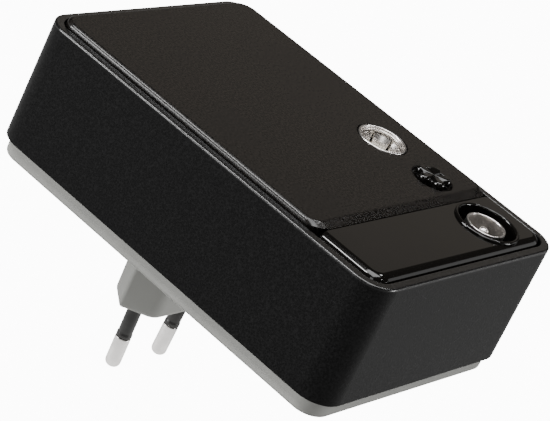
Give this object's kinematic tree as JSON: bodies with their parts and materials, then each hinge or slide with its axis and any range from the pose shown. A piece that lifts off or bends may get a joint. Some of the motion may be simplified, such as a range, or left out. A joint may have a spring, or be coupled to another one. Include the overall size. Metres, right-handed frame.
{
  "type": "plug-in aerial signal amplifier",
  "caption": "Boxed aerial signal amplifier with a mains plug moulded on its back, coaxial sockets and a gain knob on its stepped front plates.",
  "frame": {"origin": "centre of the plug's flat end face, between the two pins", "axes": "+Z out of the front plates, pins towards -Z; +Y along the case away from the socket end; +X to the side that carries the sockets"},
  "size_m": [0.0744, 0.11, 0.0816],
  "materials": {
    "grained_black": "fine grained matte",
    "satin_black": "satin",
    "gloss_black": "polished",
    "light_grey": "fine matte",
    "nickel_plate": "bright plated",
    "black_insulation": "matte",
    "white_insulator": "matte",
    "green_board": "solder mask",
    "steel": "bright",
    "copper_wire": "enamelled copper",
    "blue_insulation": "matte",
    "brown_insulation": "matte"
  },
  "bodies": {
    "case": {"front_casing": "grained_black", "main_fascia": "satin_black", "lower_fascia": "gloss_black", "rear_cover": "light_grey", "plug_pin_left": "nickel_plate", "plug_pin_right": "nickel_plate", "pin_sleeve_left": "black_insulation", "pin_sleeve_right": "black_insulation", "female_socket_shell": "nickel_plate", "female_socket_spring": "nickel_plate", "female_socket_insulator": "white_insulator", "female_socket_contact": "nickel_plate", "male_socket_shell": "nickel_plate", "male_socket_insulator": "white_insulator", "male_socket_pin": "nickel_plate", "gain_potentiometer": "green_board", "circuit_board": "green_board", "shield_can": "steel", "transformer_core": "steel", "transformer_bobbin": "white_insulator", "transformer_winding": "copper_wire", "smoothing_capacitor": "blue_insulation", "bridge_rectifier": "black_insulation", "voltage_regulator": "steel", "thermal_fuse": "black_insulation", "live_lead": "brown_insulation", "neutral_lead": "blue_insulation", "case_screw_1": "steel", "case_screw_2": "steel", "case_screw_3": "steel", "case_screw_4": "steel"},
    "gain_control": {"gain_knob": "gloss_black", "gain_shaft": "steel"}
  },
  "joints": [
    {"name": "gain_turn", "type": "hinge", "parent": "case", "child": "gain_control", "pos_m": [0.0202, -0.0404, 0.06], "axis": [0, 0, 1], "range_deg": [-135, 135]}
  ]
}
